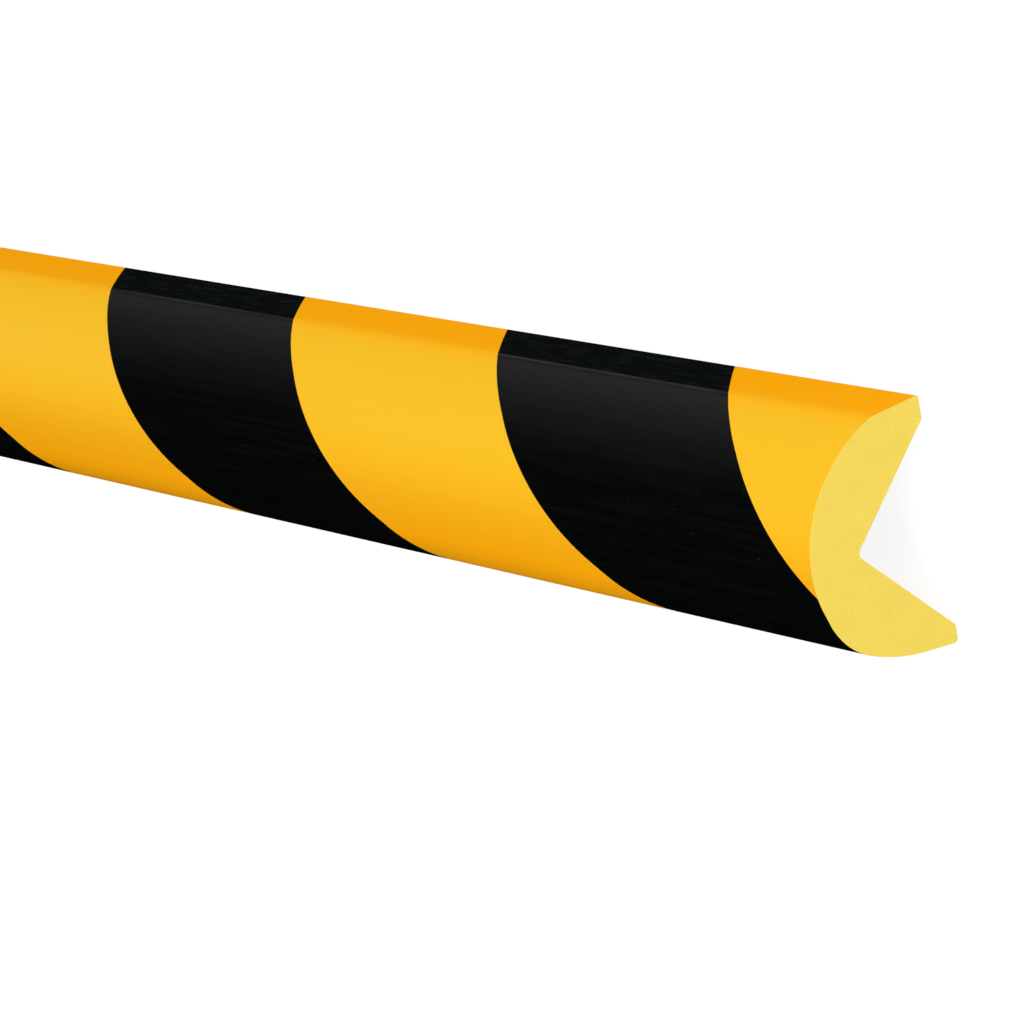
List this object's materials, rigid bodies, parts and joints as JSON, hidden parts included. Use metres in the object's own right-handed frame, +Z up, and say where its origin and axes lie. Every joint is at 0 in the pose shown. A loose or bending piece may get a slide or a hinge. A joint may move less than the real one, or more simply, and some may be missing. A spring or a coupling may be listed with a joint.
{
  "type": "edge protector",
  "caption": "Domed foam profile with a right-angled notch that pads and marks a sharp edge, with slanted yellow and black warning stripes.",
  "frame": {"origin": "on the ground, midway along the length and midway between the two lips", "axes": "+X along the profile, towards the cut end that the picture shows; +Y across it, towards the lip where the stripes start; +Z up through the crown, with the notch opening down"},
  "size_m": [1, 0.04, 0.026],
  "materials": {
    "foam": "matt cut foam, fine closed pores",
    "yellow_skin": "satin polyurethane skin",
    "black_skin": "satin polyurethane skin"
  },
  "bodies": {
    "root": {"foam_body": "foam", "yellow_coat": "yellow_skin", "black_stripes": "black_skin"}
  },
  "joints": []
}
